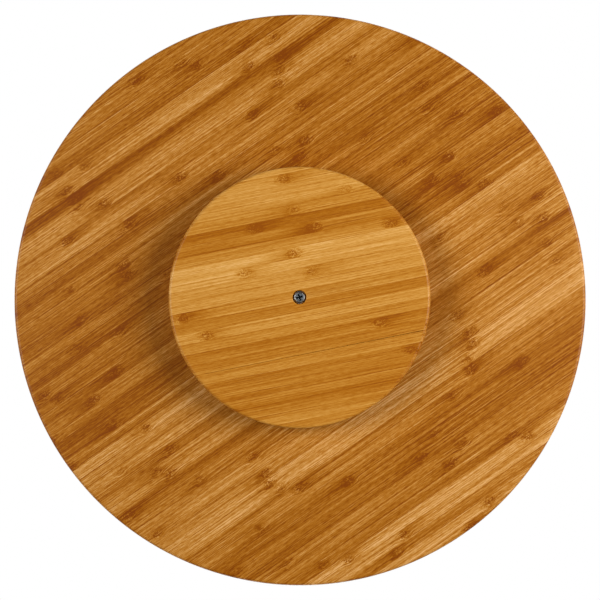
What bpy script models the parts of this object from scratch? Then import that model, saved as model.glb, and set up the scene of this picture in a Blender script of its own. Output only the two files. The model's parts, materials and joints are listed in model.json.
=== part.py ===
"""Bamboo lazy susan: a round platter that turns on a ball ring above a smaller base disc.

Metres, +Z up. The origin is the centre of the face that stands on the table, and the turning axis
is the Z axis. From the table up: the base disc, the lower race ring in its top face, sixteen balls
in a cage, the upper race ring in the platter's underside, and the platter. A screw from below
clamps a flanged bush to the platter, and the base disc is kept between the platter and the flange.
"""
import math

import bmesh
import bpy

MM = 0.001
GAP = 0.3 * MM                       # between pieces that touch on the real object

# Boards
PLATTER_DIAMETER = 355.6 * MM        # 14 inches
BASE_DIAMETER = 160.0 * MM
BOARD_THICKNESS = 15.9 * MM          # 5/8 inch
BOARD_SPACING = 3.1 * MM             # the slot seen between the two boards
EDGE_RADIUS = 2.0 * MM
GRAIN_TURN = math.radians(23.0)      # the base's strips are turned this far from the platter's

# Ball bearing
BALL_COUNT = 16
BALL_RADIUS = 3.175 * MM             # 1/4 inch balls
PITCH_RADIUS = 50.0 * MM             # from the axis to the centre of each ball
RACE_WIDTH = 10.0 * MM
RACE_THICKNESS = 1.2 * MM
TRACK_DEPTH = 0.5 * MM
CAGE_WEB_WIDTH = 6.0 * MM
CAGE_WEB_HEIGHT = 1.6 * MM
CAGE_BOSS_RADIUS = 4.6 * MM
CAGE_BOSS_HEIGHT = 3.6 * MM

# Pivot: a number 6 pan-head screw, 1 inch long, and its bush
SCREW_HEAD_RADIUS = 3.45 * MM
SCREW_HEAD_HEIGHT = 2.1 * MM
SCREW_HEAD_DOME = 0.15 * MM
SCREW_HEAD_EDGE = 0.8 * MM
SCREW_LENGTH = 25.4 * MM
SCREW_SHANK_RADIUS = 1.55 * MM
SCREW_RECESSED = 0.8 * MM            # from the base's underside in to the head
THREAD_RADIUS = 1.75 * MM
THREAD_CORE_RADIUS = 1.2 * MM
THREAD_PITCH = 1.4 * MM
THREAD_LENGTH = 16.8 * MM
SCREW_POINT_LENGTH = 4.0 * MM
SCREW_POINT_SCALE = 0.25             # size of the blunt tip against the full thread
RECESS_SPAN = 4.2 * MM
RECESS_SLOT = 1.0 * MM
RECESS_DEPTH = 2.0 * MM
RECESS_BOTTOM_SCALE = 0.45
RECESS_TURN = math.radians(20.0)
BUSH_RADIUS = 3.2 * MM
BUSH_FLANGE_RADIUS = 3.9 * MM
BUSH_FLANGE_THICKNESS = 1.0 * MM
COUNTERBORE_RADIUS = 4.2 * MM

# Fineness of the turned pieces
PLATTER_SIDES = 80
BASE_SIDES = 64
RACE_SIDES = 64
POCKET_SIDES = 16
PIVOT_SIDES = 24
SCREW_SIDES = 16
BALL_SEGMENTS = 12
BALL_RINGS = 6
EDGE_STEPS = 3
TRACK_STEPS = 4
SHARP_ANGLE = math.radians(35.0)

# Heights worked out from the sizes above
BASE_TOP = BOARD_THICKNESS
PLATTER_BOTTOM = BASE_TOP + BOARD_SPACING
PLATTER_TOP = PLATTER_BOTTOM + BOARD_THICKNESS
BALL_HEIGHT = (BASE_TOP + PLATTER_BOTTOM) / 2
TRACK_RADIUS = BALL_RADIUS + GAP
TRACK_HALF_ANGLE = math.acos((TRACK_RADIUS - TRACK_DEPTH) / TRACK_RADIUS)
RACE_NEAR = TRACK_RADIUS - TRACK_DEPTH           # from the balls' centre plane to a race's face
RACE_FAR = RACE_NEAR + RACE_THICKNESS
CHANNEL_DEPTH = RACE_FAR + GAP - BOARD_SPACING / 2
CHANNEL_INNER = PITCH_RADIUS - RACE_WIDTH / 2 - GAP
CHANNEL_OUTER = PITCH_RADIUS + RACE_WIDTH / 2 + GAP
HEAD_SEAT = SCREW_RECESSED + SCREW_HEAD_HEIGHT
SCREW_TIP = HEAD_SEAT + SCREW_LENGTH
FLANGE_BOTTOM = HEAD_SEAT + GAP
FLANGE_TOP = FLANGE_BOTTOM + BUSH_FLANGE_THICKNESS
COUNTERBORE_DEPTH = FLANGE_TOP + GAP
BASE_BORE_RADIUS = BUSH_RADIUS + GAP
BUSH_BORE_RADIUS = THREAD_RADIUS + GAP
BUSH_TOP = PLATTER_BOTTOM - GAP
PILOT_RADIUS = THREAD_RADIUS + GAP
PILOT_END = SCREW_TIP + 2 * GAP

# Surface of each finish: colour as sRGB, roughness, metallic
CARAMEL_BAMBOO = ("caramel_bamboo", (0.675, 0.427, 0.157), 0.45, 0.0)
LIGHT_BAMBOO = ("light_caramel_bamboo", (0.745, 0.502, 0.184), 0.45, 0.0)
BRIGHT_STEEL = ("bright_steel", (0.78, 0.78, 0.77), 0.18, 1.0)
PRESSED_STEEL = ("pressed_steel", (0.62, 0.62, 0.61), 0.35, 1.0)
ZINC_STEEL = ("zinc_plated_steel", (0.60, 0.61, 0.61), 0.32, 1.0)
WHITE_ACETAL = ("white_acetal", (0.90, 0.90, 0.87), 0.40, 0.0)


def clear_scene():
    for thing in list(bpy.data.objects):
        bpy.data.objects.remove(thing, do_unlink=True)


def linear(channel):
    """Turn one sRGB channel, 0 to 1, into a linear one."""
    if channel <= 0.04045:
        return channel / 12.92
    return ((channel + 0.055) / 1.055) ** 2.4


def finish(surface):
    """Return the Principled material of a finish, made once."""
    name, colour, roughness, metallic = surface
    if name in bpy.data.materials:
        return bpy.data.materials[name]
    material = bpy.data.materials.new(name)
    material.use_nodes = True
    shader = material.node_tree.nodes["Principled BSDF"]
    shader.inputs["Base Color"].default_value = (*map(linear, colour), 1.0)
    shader.inputs["Roughness"].default_value = roughness
    shader.inputs["Metallic"].default_value = metallic
    return material


def add_object(name, mesh, parent=None, surface=None):
    thing = bpy.data.objects.new(name, mesh)
    bpy.context.collection.objects.link(thing)
    thing.parent = parent
    if surface and not mesh.materials:
        mesh.materials.append(finish(surface))
    return thing


def mesh_from(name, shape):
    """Turn a bmesh into a mesh with smooth shading and sharp edges at its corners."""
    mesh = bpy.data.meshes.new(name)
    bmesh.ops.recalc_face_normals(shape, faces=shape.faces)
    shape.to_mesh(mesh)
    shape.free()
    mesh.shade_smooth()
    mesh.set_sharp_from_angle(angle=SHARP_ANGLE)
    return mesh


def spin_outline(shape, outline, sides, closed):
    """Spin (radius, height) points round Z. An open outline starts or ends on the axis."""
    points = [shape.verts.new((radius, 0.0, height)) for radius, height in outline]
    ends = points[1:] + points[:1] if closed else points[1:]
    edges = [shape.edges.new(pair) for pair in zip(points, ends)]
    bmesh.ops.spin(
        shape, geom=points + edges, cent=(0, 0, 0), axis=(0, 0, 1),
        angle=2 * math.pi, steps=sides,
    )
    bmesh.ops.remove_doubles(shape, verts=shape.verts, dist=0.001 * MM)


def turned(name, outline, sides, closed):
    shape = bmesh.new()
    spin_outline(shape, outline, sides, closed)
    return mesh_from(name, shape)


def arc(centre, radius, start, end, steps):
    """Points on an arc about centre, from one angle to another in degrees."""
    points = []
    for step in range(steps + 1):
        angle = math.radians(start + (end - start) * step / steps)
        points.append((centre[0] + radius * math.cos(angle), centre[1] + radius * math.sin(angle)))
    return points


def eased_rim(board_radius, bottom, top):
    """The outer side of a board, bottom to top, with both corners rounded."""
    inner = board_radius - EDGE_RADIUS
    lower = arc((inner, bottom + EDGE_RADIUS), EDGE_RADIUS, -90, 0, EDGE_STEPS)
    upper = arc((inner, top - EDGE_RADIUS), EDGE_RADIUS, 0, 90, EDGE_STEPS)
    return lower + upper


def make_platter(parent):
    """Board with a blind pilot hole and a race channel in its underside."""
    channel_roof = PLATTER_BOTTOM + CHANNEL_DEPTH
    outline = [
        (0.0, PILOT_END),
        (PILOT_RADIUS, PILOT_END),
        (PILOT_RADIUS, PLATTER_BOTTOM),
        (CHANNEL_INNER, PLATTER_BOTTOM),
        (CHANNEL_INNER, channel_roof),
        (CHANNEL_OUTER, channel_roof),
        (CHANNEL_OUTER, PLATTER_BOTTOM),
        *eased_rim(PLATTER_DIAMETER / 2, PLATTER_BOTTOM, PLATTER_TOP),
        (0.0, PLATTER_TOP),
    ]
    mesh = turned("platter", outline, PLATTER_SIDES, closed=False)
    return add_object("platter", mesh, parent, CARAMEL_BAMBOO)


def make_base_disc():
    """Board with a stepped hole through it and a race channel in its top face."""
    channel_floor = BASE_TOP - CHANNEL_DEPTH
    outline = [
        (COUNTERBORE_RADIUS, 0.0),
        *eased_rim(BASE_DIAMETER / 2, 0.0, BASE_TOP),
        (CHANNEL_OUTER, BASE_TOP),
        (CHANNEL_OUTER, channel_floor),
        (CHANNEL_INNER, channel_floor),
        (CHANNEL_INNER, BASE_TOP),
        (BASE_BORE_RADIUS, BASE_TOP),
        (BASE_BORE_RADIUS, COUNTERBORE_DEPTH),
        (COUNTERBORE_RADIUS, COUNTERBORE_DEPTH),
    ]
    mesh = turned("base_disc", outline, BASE_SIDES, closed=True)
    disc = add_object("base_disc", mesh, None, LIGHT_BAMBOO)
    disc.rotation_euler.z = GRAIN_TURN
    return disc


def race_mesh(name, side):
    """A pressed ring with a curved track. side is -1 below the balls and 1 above them."""
    inner = PITCH_RADIUS - RACE_WIDTH / 2
    outer = PITCH_RADIUS + RACE_WIDTH / 2
    spread = math.degrees(TRACK_HALF_ANGLE)
    track = arc((PITCH_RADIUS, 0.0), TRACK_RADIUS, 90 - spread, 90 + spread, TRACK_STEPS)
    outline = [(inner, RACE_NEAR), (inner, RACE_FAR), (outer, RACE_FAR), (outer, RACE_NEAR), *track]
    heights = [(radius, BALL_HEIGHT + side * height) for radius, height in outline]
    return turned(name, heights, RACE_SIDES, closed=True)


def ring_of_posts(name, radius, height, sides):
    """One upright post at each ball's place, all in one mesh centred on the balls' plane."""
    shape = bmesh.new()
    for index in range(BALL_COUNT):
        angle = 2 * math.pi * index / BALL_COUNT
        post = bmesh.ops.create_cone(
            shape, cap_ends=True, segments=sides, radius1=radius, radius2=radius, depth=height,
        )
        place = (PITCH_RADIUS * math.cos(angle), PITCH_RADIUS * math.sin(angle), 0.0)
        bmesh.ops.translate(shape, verts=post["verts"], vec=place)
    return mesh_from(name, shape)


def make_cutter(name, mesh, parent):
    cutter = add_object(name, mesh, parent)
    cutter.hide_render = True
    cutter.display_type = "WIRE"
    return cutter


def combine(thing, other, operation):
    modifier = thing.modifiers.new(other.name, "BOOLEAN")
    modifier.operation = operation
    modifier.solver = "EXACT"
    modifier.object = other


def make_cage(parent):
    """Flat web with a raised boss round each ball, and a pocket through each boss."""
    inner = PITCH_RADIUS - CAGE_WEB_WIDTH / 2
    outer = PITCH_RADIUS + CAGE_WEB_WIDTH / 2
    half = CAGE_WEB_HEIGHT / 2
    outline = [(inner, -half), (outer, -half), (outer, half), (inner, half)]
    cage = add_object("ball_cage", turned("ball_cage", outline, RACE_SIDES, True), parent, WHITE_ACETAL)
    bosses = ring_of_posts("cage_bosses", CAGE_BOSS_RADIUS, CAGE_BOSS_HEIGHT, POCKET_SIDES)
    pockets = ring_of_posts("cage_pockets", TRACK_RADIUS, 2 * CAGE_BOSS_HEIGHT, POCKET_SIDES)
    combine(cage, make_cutter("cage_bosses", bosses, parent), "UNION")
    combine(cage, make_cutter("cage_pockets", pockets, parent), "DIFFERENCE")
    return cage


def make_balls(parent):
    """Each ball's local X axis points away from the turning axis: the axis it rolls about."""
    shape = bmesh.new()
    bmesh.ops.create_uvsphere(
        shape, u_segments=BALL_SEGMENTS, v_segments=BALL_RINGS, radius=BALL_RADIUS,
    )
    mesh = mesh_from("ball", shape)
    for index in range(BALL_COUNT):
        angle = 2 * math.pi * index / BALL_COUNT
        ball = add_object(f"ball_{index + 1:02d}", mesh, parent, BRIGHT_STEEL)
        ball.location = (PITCH_RADIUS * math.cos(angle), PITCH_RADIUS * math.sin(angle), 0.0)
        ball.rotation_euler.z = angle


def make_bush(parent):
    """Flanged sleeve. The flange holds the base disc up, and the sleeve reaches the platter."""
    outline = [
        (BUSH_BORE_RADIUS, FLANGE_BOTTOM),
        (BUSH_FLANGE_RADIUS, FLANGE_BOTTOM),
        (BUSH_FLANGE_RADIUS, FLANGE_TOP),
        (BUSH_RADIUS, FLANGE_TOP),
        (BUSH_RADIUS, BUSH_TOP),
        (BUSH_BORE_RADIUS, BUSH_TOP),
    ]
    mesh = turned("pivot_bush", outline, PIVOT_SIDES, closed=True)
    return add_object("pivot_bush", mesh, parent, WHITE_ACETAL)


def point_scale(height):
    """How much the thread has shrunk towards the screw's point at a height."""
    along = (height - (SCREW_TIP - SCREW_POINT_LENGTH)) / SCREW_POINT_LENGTH
    return 1.0 - (1.0 - SCREW_POINT_SCALE) * min(max(along, 0.0), 1.0)


def add_thread(shape, start, end):
    """A right-hand thread as a grid whose rows climb the helix: crest, root, crest, root."""
    rows_a_turn = 2
    rise = THREAD_PITCH / rows_a_turn
    row_count = math.ceil((end - start) / rise) + 1
    grid = []
    for column in range(SCREW_SIDES + 1):
        turn = column / SCREW_SIDES
        angle = 2 * math.pi * turn
        points = []
        for row in range(-rows_a_turn - 1, row_count):
            height = start + (row + rows_a_turn * turn) * rise
            on_crest = row % rows_a_turn == 1 and start < height < end
            height = min(max(height, start), end)
            radius = (THREAD_RADIUS if on_crest else THREAD_CORE_RADIUS) * point_scale(height)
            place = (radius * math.cos(angle), radius * math.sin(angle), height)
            points.append(shape.verts.new(place))
        grid.append(points)
    for left, right in zip(grid, grid[1:]):
        for row in range(len(left) - 1):
            shape.faces.new((left[row], right[row], right[row + 1], left[row + 1]))


def recess_cutter(parent):
    """A cross that narrows as it goes up into the screw's head."""
    near = RECESS_SLOT / 2
    far = RECESS_SPAN / 2
    quarter = [(far, -near), (far, near), (near, near)]
    shape = bmesh.new()
    corners = []
    for turn in range(4):
        angle = turn * math.pi / 2
        for x, y in quarter:
            across = x * math.cos(angle) - y * math.sin(angle)
            along = x * math.sin(angle) + y * math.cos(angle)
            corners.append(shape.verts.new((across, along, 0.0)))
    mouth = shape.faces.new(corners)
    raised = bmesh.ops.extrude_face_region(shape, geom=[mouth])
    bottom = [item for item in raised["geom"] if isinstance(item, bmesh.types.BMVert)]
    height = RECESS_DEPTH + SCREW_HEAD_DOME
    bmesh.ops.scale(shape, verts=bottom, vec=(RECESS_BOTTOM_SCALE, RECESS_BOTTOM_SCALE, 1.0))
    bmesh.ops.translate(shape, verts=bottom, vec=(0.0, 0.0, height))
    cutter = make_cutter("screw_recess", mesh_from("screw_recess", shape), parent)
    cutter.location.z = SCREW_RECESSED - SCREW_HEAD_DOME
    cutter.rotation_euler.z = RECESS_TURN
    return cutter


def make_screw(parent):
    """Pan head facing down, plain shank, then a thread that tapers to a blunt point."""
    thread_start = SCREW_TIP - THREAD_LENGTH
    shoulder = SCREW_SHANK_RADIUS - THREAD_CORE_RADIUS
    flat_radius = SCREW_HEAD_RADIUS - SCREW_HEAD_EDGE
    edge_centre = (flat_radius, SCREW_RECESSED + SCREW_HEAD_DOME + SCREW_HEAD_EDGE)
    outline = [
        (0.0, SCREW_RECESSED),
        (flat_radius / 2, SCREW_RECESSED + SCREW_HEAD_DOME / 4),
        *arc(edge_centre, SCREW_HEAD_EDGE, -90, 0, EDGE_STEPS),
        (SCREW_HEAD_RADIUS, HEAD_SEAT),
        (SCREW_SHANK_RADIUS, HEAD_SEAT),
        (SCREW_SHANK_RADIUS, thread_start - shoulder),
        (THREAD_CORE_RADIUS, thread_start),
    ]
    shape = bmesh.new()
    spin_outline(shape, outline, SCREW_SIDES, closed=False)
    add_thread(shape, thread_start, SCREW_TIP)
    bmesh.ops.remove_doubles(shape, verts=shape.verts, dist=0.001 * MM)
    bmesh.ops.holes_fill(shape, edges=shape.edges, sides=SCREW_SIDES)
    screw = add_object("centre_screw", mesh_from("centre_screw", shape), parent, ZINC_STEEL)
    combine(screw, recess_cutter(parent), "DIFFERENCE")
    return screw


def main():
    clear_scene()
    platter_axis = add_object("platter_axis", None)
    cage_axis = add_object("cage_axis", None)
    cage_axis.location.z = BALL_HEIGHT

    make_base_disc()
    add_object("lower_race_ring", race_mesh("lower_race_ring", -1), None, PRESSED_STEEL)
    make_cage(cage_axis)
    make_balls(cage_axis)
    add_object("upper_race_ring", race_mesh("upper_race_ring", 1), platter_axis, PRESSED_STEEL)
    make_platter(platter_axis)
    make_bush(platter_axis)
    make_screw(platter_axis)


main()
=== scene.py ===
# %% [markdown]
# # A bamboo lazy susan
# A lazy susan is two round boards with a ring of balls between them. The small board stands on the
# table and the large one turns above it. Here it is seen from underneath, so the small board is
# nearest, with the head of the screw that holds everything together in its middle.
# The frame gives every size and place. This script makes the fine surfaces that ride on it.

# %% Load the frame
import json
import math
import random

import bmesh
import bpy
from mathutils import Matrix, Vector


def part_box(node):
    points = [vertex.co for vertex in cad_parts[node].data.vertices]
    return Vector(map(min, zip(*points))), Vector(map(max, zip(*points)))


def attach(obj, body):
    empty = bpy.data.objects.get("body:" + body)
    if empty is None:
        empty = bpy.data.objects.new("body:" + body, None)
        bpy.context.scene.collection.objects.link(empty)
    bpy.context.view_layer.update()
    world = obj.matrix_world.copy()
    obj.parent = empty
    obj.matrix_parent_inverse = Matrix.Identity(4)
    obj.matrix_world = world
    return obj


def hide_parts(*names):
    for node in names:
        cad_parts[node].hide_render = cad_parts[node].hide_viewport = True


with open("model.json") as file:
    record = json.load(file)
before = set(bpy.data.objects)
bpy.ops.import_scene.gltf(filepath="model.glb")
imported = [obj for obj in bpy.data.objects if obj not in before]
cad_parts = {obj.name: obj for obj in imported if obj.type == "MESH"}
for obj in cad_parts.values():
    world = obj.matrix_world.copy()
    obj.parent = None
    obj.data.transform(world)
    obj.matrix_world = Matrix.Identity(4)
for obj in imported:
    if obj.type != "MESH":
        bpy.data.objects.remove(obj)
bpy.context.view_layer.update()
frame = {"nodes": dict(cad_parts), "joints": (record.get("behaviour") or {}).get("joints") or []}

# %% [markdown]
# ## Sizes
# A maker reads the sizes off the drawing before cutting anything. The boxes of the CAD pieces hold
# most of them. The few that a box can't tell, such as how much an edge is eased, are named here.

# %% Sizes from the frame
MM = 0.001
GAP = 0.3 * MM                    # left between pieces that touch
EDGE_EASE = 2.0 * MM              # radius that the boards' edges are rounded to
GRAIN_TURN = math.radians(23.25)  # the base's strips lie this far round from the platter's

platter_low, platter_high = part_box("platter")
base_low, base_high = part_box("base_disc")
lower_race_low, lower_race_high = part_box("lower_race_ring")
upper_race_low, upper_race_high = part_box("upper_race_ring")
cage_low, cage_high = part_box("ball_cage")
ball_low, ball_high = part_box("ball_01")
bush_low, bush_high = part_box("pivot_bush")
screw_low, screw_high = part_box("centre_screw")

joints = {joint["name"]: joint for joint in frame["joints"]}
pitch_radius = joints["ball_01_roll"]["pos_m"][0]
race_outer = lower_race_high.x
race_inner = 2 * pitch_radius - race_outer
ball_radius = (ball_high.z - ball_low.z) / 2
ball_height = (ball_high.z + ball_low.z) / 2
print("platter across, mm:", round(2 * platter_high.x / MM, 1))
print("base across, mm:", round(2 * base_high.x / MM, 1))

# %% [markdown]
# ## Two small tools
# Colours are picked as sRGB hex, the way a paint chart gives them, but a renderer adds up light,
# so it needs linear numbers. One function turns the first into the second.
# A material is a chain of nodes. One function adds a node, sets it, and links what feeds it.

# %% Colour and node helpers
def linear(hex_colour):
    """Turn '#RRGGBB' into linear red, green and blue with an alpha of 1."""
    channels = [int(hex_colour[i:i + 2], 16) / 255 for i in (1, 3, 5)]
    return (*[c / 12.92 if c <= 0.04045 else ((c + 0.055) / 1.055) ** 2.4 for c in channels], 1.0)


def add(tree, kind, settings, inputs):
    """Add a node. An input is a plain value, or the output socket that feeds it."""
    made = tree.nodes.new("ShaderNode" + kind)
    for name, value in settings.items():
        setattr(made, name, value)
    for key, value in inputs.items():
        if isinstance(value, bpy.types.NodeSocket):
            tree.links.new(value, made.inputs[key])
        else:
            made.inputs[key].default_value = value
    return made.outputs[0]


def new_material(name, colour, roughness, metallic, ior):
    """An empty Principled material, with what is the same all over set on the shader itself."""
    material = bpy.data.materials.new(name)
    material.use_nodes = True
    shader = material.node_tree.nodes["Principled BSDF"]
    shader.inputs["Base Color"].default_value = linear(colour)
    shader.inputs["Roughness"].default_value = roughness
    shader.inputs["Metallic"].default_value = metallic
    if not metallic:
        shader.inputs["IOR"].default_value = ior
    return material, material.node_tree, shader


print("white is", linear("#FFFFFF")[:3])

# %% [markdown]
# ## Turned shapes
# Both boards, the rings, the bush and the screw are round, so each is an outline spun round the
# axis, as on a lathe. Fine outlines and many sides cost little and stay round close up.

# %% Lathe helpers
def arc(centre, radius, start, end, steps):
    """Points on an arc, from one angle to another in degrees."""
    turns = [math.radians(start + (end - start) * i / steps) for i in range(steps + 1)]
    return [(centre[0] + radius * math.cos(t), centre[1] + radius * math.sin(t)) for t in turns]


def spin_outline(shape, outline, sides, closed):
    """Spin (radius, height) points round Z. An open outline starts or ends on the axis."""
    points = [shape.verts.new((radius, 0.0, height)) for radius, height in outline]
    ends = points[1:] + points[:1] if closed else points[1:]
    edges = [shape.edges.new(pair) for pair in zip(points, ends)]
    bmesh.ops.spin(
        shape, geom=points + edges, cent=(0, 0, 0), axis=(0, 0, 1),
        angle=2 * math.pi, steps=sides,
    )
    bmesh.ops.remove_doubles(shape, verts=shape.verts, dist=0.001 * MM)


def finish_mesh(name, shape, sharp_degrees=30):
    """Turn a bmesh into a smooth-shaded object."""
    mesh = bpy.data.meshes.new(name)
    bmesh.ops.recalc_face_normals(shape, faces=shape.faces)
    shape.to_mesh(mesh)
    shape.free()
    mesh.shade_smooth()
    mesh.set_sharp_from_angle(angle=math.radians(sharp_degrees))
    thing = bpy.data.objects.new(name, mesh)
    bpy.context.collection.objects.link(thing)
    return thing


def apply_modifiers(thing):
    """Bake the modifiers into the mesh."""
    graph = bpy.context.evaluated_depsgraph_get()
    mesh = bpy.data.meshes.new_from_object(thing.evaluated_get(graph), depsgraph=graph)
    thing.modifiers.clear()
    thing.data = mesh
    return thing


def cut(thing, cutter):
    """Cut one shape out of another, then throw the cutter away."""
    modifier = thing.modifiers.new("cut", "BOOLEAN")
    modifier.operation = "DIFFERENCE"
    modifier.solver = "EXACT"
    modifier.object = cutter
    apply_modifiers(thing)
    bpy.data.objects.remove(cutter, do_unlink=True)
    return thing


def round_edges(thing, name, width, sharp_degrees):
    """Give every sharp edge a small radius."""
    modifier = thing.modifiers.new(name, "BEVEL")
    modifier.width = width
    modifier.segments = 2
    modifier.limit_method = "ANGLE"
    modifier.angle_limit = math.radians(40)
    apply_modifiers(thing)
    thing.data.shade_smooth()
    thing.data.set_sharp_from_angle(angle=math.radians(sharp_degrees))


def wear(thing, materials, body, slot, *nodes):
    """Give a piece its materials, stand it in for its CAD nodes and let it ride on its body."""
    thing.data.materials.clear()
    for material in materials:
        thing.data.materials.append(material)
    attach(thing, body)
    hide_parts(*nodes)
    return thing


print("an arc of 4 steps has", len(arc((0, 0), 1, 0, 90, 4)), "points")

# %% [markdown]
# ## The lay-up
# A bamboo board isn't sawn from a trunk. The cane is split into strips, planed square and glued
# side by side. Steaming under pressure turns the strips caramel, and no two come out the same.
# Each strip also shows the knots of its own cane, about a hand apart. So a board is best described
# the way it is glued up: one colour grade for each strip, as a sorter calls them, and one place
# along it, in millimetres, where a knot falls. The other knots follow at the cane's own spacing.

# %% Grades and knots of both boards
SORTS = "abcde"               # a sorter's five colour grades, darkest first
STRIP = 6.5                   # usual width of a strip in mm
WIDE_STRIP = 6.8              # some canes had thicker walls
KNOT_SPACING = (128, 156)     # shortest and longest distance between a cane's knots in mm
NO_KNOT = 400                 # a knot that falls off the board
ONE_KNOT = (1000, 1200)       # the same spacing for a short strip that shows one knot at most

PLATTER_START = -179.7        # the first strip's outer edge in mm
PLATTER_WIDE = range(7, 13)   # which strips are wide
PLATTER_GRADES = "deceecccbbb" "cceedddcbdd" "cddecbabcbb" "cbbcbbccbcd" "cddaddbcccc"
PLATTER_KNOTS = [
    -6, 120, -90, 30, 67, -60, -20, 100, -7, -21, -91,
    -44, -62, 76, 80, 79, -145, 80, 115, -104, -153, -139,
    -20, -136, 60, -30, -135, 140, -125, -110, -127, -168, 30,
    165, 104, 0, -89, -139, -50, 78, -40, -2, 62, 18,
    -40, 67, 83, 80, 82, 64, 81, -30, 120, 8, -100,
]

BASE_START = -80.1
BASE_GRADES = "ccbbb" "bcbbc" "dbcdd" "eecba" "cdddd"
BASE_KNOTS = [
    NO_KNOT, NO_KNOT, NO_KNOT, NO_KNOT, NO_KNOT,
    -59, NO_KNOT, NO_KNOT, -45, NO_KNOT,
    61, NO_KNOT, 73, NO_KNOT, -10,
    30, -2, -63, -17, 19,
    -7, -41, NO_KNOT, -4, NO_KNOT,
]


def strip_edges(start, count, wide):
    """The strips' edges across the board in mm."""
    edges = [start]
    for index in range(count):
        edges.append(edges[-1] + (WIDE_STRIP if index in wide else STRIP))
    return edges


platter_edges = strip_edges(PLATTER_START, len(PLATTER_GRADES), PLATTER_WIDE)
base_edges = strip_edges(BASE_START, len(BASE_GRADES), ())
print("strips:", len(PLATTER_GRADES), "in the platter,", len(BASE_GRADES), "in the base")

# %% [markdown]
# The strips could be drawn by the material alone, but then they would be only paint. Here the turned
# board is sliced along every glue line, so that each strip has its own faces, and each face carries
# what the material needs to know about its strip: grade, a random seed, and where its knots are.

# %% Slice a board into strips
def slice_board(thing, edges):
    """Cut the mesh along each glue line without opening it."""
    shape = bmesh.new()
    shape.from_mesh(thing.data)
    for edge in edges:
        everything = list(shape.verts) + list(shape.edges) + list(shape.faces)
        bmesh.ops.bisect_plane(
            shape, geom=everything, dist=0.0001 * MM, plane_co=(0, edge * MM, 0), plane_no=(0, 1, 0),
        )
    shape.to_mesh(thing.data)
    shape.free()
    thing.data.shade_smooth()
    thing.data.set_sharp_from_angle(angle=math.radians(30))


def grade_strips(thing, edges, grades, knots, spacing, seed):
    """Write each face's strip on it: (grade, seed, middle) and (knot, spacing, half width)."""
    chance = random.Random(seed)
    strips = []
    for index, grade in enumerate(grades):
        low, high = edges[index], edges[index + 1]
        strips.append((
            (SORTS.index(grade) / (len(SORTS) - 1), chance.random(), (low + high) / 2),
            (knots[index], chance.uniform(*spacing), (high - low) / 2),
        ))
    mesh = thing.data
    strip = mesh.attributes.new("strip", "FLOAT_VECTOR", "FACE")
    cane = mesh.attributes.new("cane", "FLOAT_VECTOR", "FACE")
    for face in mesh.polygons:
        across = face.center.y / MM
        index = sum(across > edge for edge in edges[1:-1])
        strip.data[face.index].vector, cane.data[face.index].vector = strips[index]


print("a platter strip is", STRIP, "mm wide, and its knots are", KNOT_SPACING, "mm apart")

# %% [markdown]
# ## Material: carbonised bamboo, planed, sanded and oiled
# Bamboo is bundles of hard dark fibres in soft pale pith. Cut lengthwise, the bundles show as fine
# lines and short dark dashes that run true from end to end. They crowd towards the skin side, so
# each strip is darker along one side. At a knot the lines swell round a small brown eye, with a
# streak of darker pith beyond it. Oil brings up the colour and leaves a satin, not a gloss.
# All of it is solid texture, so that the end grain on the rim matches the faces.
# The finest fibres are about 0.2 mm across, too fine to show here, so they are drawn at 0.5 mm.

# %% Carbonised bamboo
GRAINS = {                      # length, width and depth of each kind of line, in mm
    "bands": (220.0, 3.4, 6.0),
    "streaks": (130.0, 1.5, 4.0),
    "fibres": (70.0, 0.56, 1.2),
    "flecks": (4.5, 0.60, 1.0),
    "hairs": (90.0, 0.50, 1.0),
}
GLUE_LINE = 0.45               # half width of the visible glue line in mm
KNOT_EYE = (4.3, 2.7)          # half length and half width of a knot's eye in mm
KNOT_WALL = 0.6                # half width of the pale line across a knot, in mm
END_GRAIN = 0.3                # how far in from the rim the soaked end grain shows, in mm
OILED_IOR = 1.28               # low, for a satin surface without glare
RAGGED_REACH = 3.0             # how far a knot's outline strays either way, in mm
PLAINEST_KNOT = 0.4            # strength of the faintest knots, against 1 for the boldest
SWELL_REACH = 4.5              # how far from a knot its fibres swell, in mm
SWELL_SPREAD = 0.6             # how much wider the fibres grow there
SWELL_STEP = 0.9               # how far they step sideways there, in mm
WANDER_LENGTH = 90             # fibres drift to and fro over about this length, in mm
WANDER_REACH = 0.8             # how far they drift, in mm
SKIN_LEAN = 0.12               # the most that tone changes from a strip's middle to its side
HAIRLINE = (0.56, 0.67, -0.30)     # where a hairline starts and is full, and its tone
DARK_FLECK = (0.60, 0.76, -0.20)   # the same for a fleck
GLUE_TONES = (0.02, -0.24)     # tone of the best and the worst glue line
CURL_TONES = (-0.95, 0.12)     # darkest and palest curl in a knot's eye
WALL_SLANT = 0.35              # how far the pale line leans
WALL_TONE = 0.12
TAIL_RISE = 4.0                # half the length over which a knot's streak sets in, in mm
TAIL_FADE = (2.0, 26.0)        # where the streak starts to fade and where it is gone, in mm
TAIL_TONE = -0.50
SATIN_SPREAD = 0.10            # how much the roughness varies either way
SOAKED_DULLER = 0.25           # how much rougher the end grain is
FIBRE_RELIEF = 0.06 * MM       # height of the sanded fibres


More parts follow.
